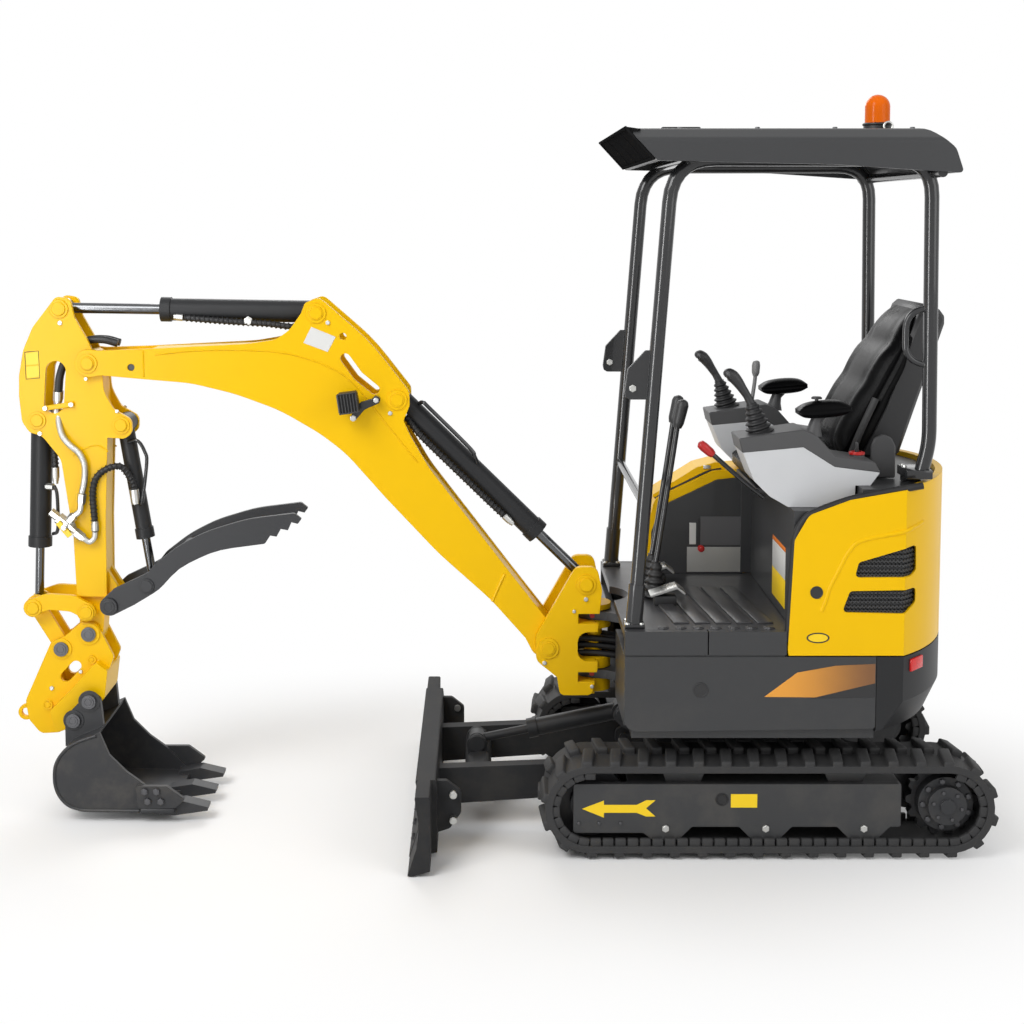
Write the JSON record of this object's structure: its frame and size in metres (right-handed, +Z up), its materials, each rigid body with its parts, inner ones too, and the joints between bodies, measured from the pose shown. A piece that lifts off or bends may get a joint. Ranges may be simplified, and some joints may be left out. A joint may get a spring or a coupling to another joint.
{
  "type": "mini excavator",
  "caption": "Compact tracked excavator with open canopy, offset-swing boom, thumb, quick hitch, digging bucket and dozer blade.",
  "frame": {"origin": "on the ground under the middle of the machine's overall length and width", "axes": "+X forward towards the bucket, +Y to the machine's left, +Z up"},
  "size_m": [3.2555, 1.24, 2.4293],
  "materials": {
    "yellow_paint": "gloss",
    "dark_paint": "satin",
    "black_frame": "satin",
    "track_rubber": "matte",
    "floor_rubber": "matte",
    "chrome_rod": "polished",
    "cast_steel": "rough",
    "amber_lens": "gloss",
    "seat_vinyl": "soft sheen",
    "console_plastic": "matte",
    "black_plastic": "matte"
  },
  "bodies": {
    "undercarriage": {"track_left": "track_rubber", "track_right": "track_rubber", "track_frames": "dark_paint", "track_rollers": "cast_steel", "idlers": "cast_steel", "sprockets": "cast_steel", "car_body": "dark_paint"},
    "blade": {"blade": "black_frame"},
    "blade_barrel": {"blade_barrel": "black_frame"},
    "blade_rod": {"blade_rod": "chrome_rod"},
    "bonnet": {"bonnet": "yellow_paint"},
    "swing_post": {"swing_post": "yellow_paint"},
    "boom_barrel": {"boom_barrel": "black_frame"},
    "boom_rod": {"boom_rod": "chrome_rod"},
    "arm_barrel": {"arm_barrel": "black_frame"},
    "arm_rod": {"arm_rod": "chrome_rod"},
    "guide_link": {"guide_link": "yellow_paint"},
    "bucket_link": {"bucket_link": "yellow_paint"},
    "bucket_barrel": {"bucket_barrel": "black_frame"},
    "bucket_rod": {"bucket_rod": "chrome_rod"},
    "thumb": {"thumb": "dark_paint"},
    "thumb_barrel": {"thumb_barrel": "black_frame"},
    "thumb_rod": {"thumb_rod": "chrome_rod"},
    "arm": {"arm": "yellow_paint"},
    "boom": {"boom": "yellow_paint", "work_light": "black_plastic"},
    "bucket": {"quick_hitch": "yellow_paint", "bucket": "dark_paint"},
    "house": {"revolving_frame": "dark_paint", "skirts": "dark_paint", "counterweight": "dark_paint", "side_covers": "yellow_paint", "grilles": "black_plastic", "top_deck": "dark_paint", "engine": "cast_steel", "floor_plate": "floor_rubber", "tank_cover": "yellow_paint", "tank_panel": "black_plastic", "seat": "seat_vinyl", "consoles": "console_plastic", "controls": "black_plastic", "canopy_frame": "black_frame", "canopy_roof": "black_frame", "beacon_base": "black_plastic", "beacon_lens": "amber_lens"}
  },
  "joints": [
    {"name": "slew", "type": "hinge", "parent": "undercarriage", "child": "house", "pos_m": [-0.89466, 0, 0.385], "axis": [0, 0, 1], "continuous": true},
    {"name": "boom_swing", "type": "hinge", "parent": "house", "child": "swing_post", "pos_m": [-0.36766, 0, 0.566], "axis": [0, 0, 1], "range_deg": [-50, 60]},
    {"name": "boom_lift", "type": "hinge", "parent": "swing_post", "child": "boom", "pos_m": [-0.20766, 0, 0.572], "axis": [0, -1, 0], "range_deg": [-65, 32]},
    {"name": "arm_reach", "type": "hinge", "parent": "boom", "child": "arm", "pos_m": [1.34512, 0, 1.54228], "axis": [0, 1, 0], "range_deg": [-70, 22]},
    {"name": "bucket_curl", "type": "hinge", "parent": "arm", "child": "bucket", "pos_m": [1.36466, 0, 0.60949], "axis": [0, -1, 0], "range_deg": [-80, 60]},
    {"name": "thumb_close", "type": "hinge", "parent": "arm", "child": "thumb", "pos_m": [1.28137, 0, 0.71777], "axis": [0, -1, 0], "range_deg": [0, 80]},
    {"name": "blade_lift", "type": "hinge", "parent": "undercarriage", "child": "blade", "pos_m": [-0.49466, 0, 0.172], "axis": [0, -1, 0], "range_deg": [-18, 25]},
    {"name": "bonnet_open", "type": "hinge", "parent": "house", "child": "bonnet", "pos_m": [-1.48101, -0.2565, 0.93], "axis": [0, 0, 1], "range_deg": [0, 85]},
    {"name": "boom_barrel_turn", "type": "hinge", "parent": "boom", "child": "boom_barrel", "pos_m": [0.30391, 0, 1.41875], "axis": [0, -1, 0], "range_deg": [-0.66, 1.29]},
    {"name": "boom_rod_slide", "type": "slide", "parent": "boom_barrel", "child": "boom_rod", "axis": [-0.7142, 0, -0.6999], "range_m": [-0.13436, 0.2724]},
    {"name": "arm_barrel_turn", "type": "hinge", "parent": "boom", "child": "arm_barrel", "pos_m": [0.57512, 0, 1.71204], "axis": [0, 1, 0], "range_deg": [-1.12, 0.39]},
    {"name": "arm_rod_slide", "type": "slide", "parent": "arm_barrel", "child": "arm_rod", "axis": [0.9999, 0, 0.0154], "range_m": [-0.24119, 0.07615]},
    {"name": "guide_link_turn", "type": "hinge", "parent": "arm", "child": "guide_link", "pos_m": [1.36696, 0, 0.69055], "axis": [0, -1, 0], "range_deg": [-56.5, 42.39]},
    {"name": "bucket_link_turn", "type": "hinge", "parent": "guide_link", "child": "bucket_link", "pos_m": [1.54796, 0, 0.70555], "axis": [0, -1, 0], "range_deg": [-15.48, 20.62]},
    {"name": "bucket_barrel_turn", "type": "hinge", "parent": "arm", "child": "bucket_barrel", "pos_m": [1.52425, 0, 1.34698], "axis": [0, -1, 0], "range_deg": [-0.55, 0.43]},
    {"name": "bucket_rod_slide", "type": "slide", "parent": "bucket_barrel", "child": "bucket_rod", "axis": [0.0369, 0, -0.9993], "range_m": [-0.12481, 0.16625]},
    {"name": "thumb_barrel_turn", "type": "hinge", "parent": "arm", "child": "thumb_barrel", "pos_m": [1.24054, 0, 1.33012], "axis": [0, -1, 0], "range_deg": [-0.05, 2.91]},
    {"name": "thumb_rod_slide", "type": "slide", "parent": "thumb_barrel", "child": "thumb_rod", "axis": [-0.1597, 0, -0.9872], "range_m": [-0.0005, 0.19101]},
    {"name": "blade_barrel_turn", "type": "hinge", "parent": "undercarriage", "child": "blade_barrel", "pos_m": [-0.46466, 0, 0.325], "axis": [0, -1, 0], "range_deg": [-18.56, 25.76]},
    {"name": "blade_rod_slide", "type": "slide", "parent": "blade_barrel", "child": "blade_rod", "axis": [0.9794, 0, -0.2018], "range_m": [-0.06736, 0.04864]}
  ],
  "couplings": [
    {"joint": "boom_barrel_turn", "follows": "boom_lift", "ratio": -0.0191},
    {"joint": "boom_rod_slide", "follows": "boom_lift", "m_per_rad": -0.23967},
    {"joint": "arm_barrel_turn", "follows": "arm_reach", "ratio": 0.0153},
    {"joint": "arm_rod_slide", "follows": "arm_reach", "m_per_rad": 0.19701},
    {"joint": "guide_link_turn", "follows": "bucket_curl", "ratio": 0.7056},
    {"joint": "bucket_link_turn", "follows": "bucket_curl", "ratio": -0.2571},
    {"joint": "bucket_barrel_turn", "follows": "bucket_curl", "ratio": 0.0063},
    {"joint": "bucket_rod_slide", "follows": "bucket_curl", "m_per_rad": -0.11871},
    {"joint": "thumb_barrel_turn", "follows": "thumb_close", "ratio": 0.0357},
    {"joint": "thumb_rod_slide", "follows": "thumb_close", "m_per_rad": 0.13644},
    {"joint": "blade_barrel_turn", "follows": "blade_lift", "ratio": 1.0283},
    {"joint": "blade_rod_slide", "follows": "blade_lift", "m_per_rad": -0.15324}
  ]
}
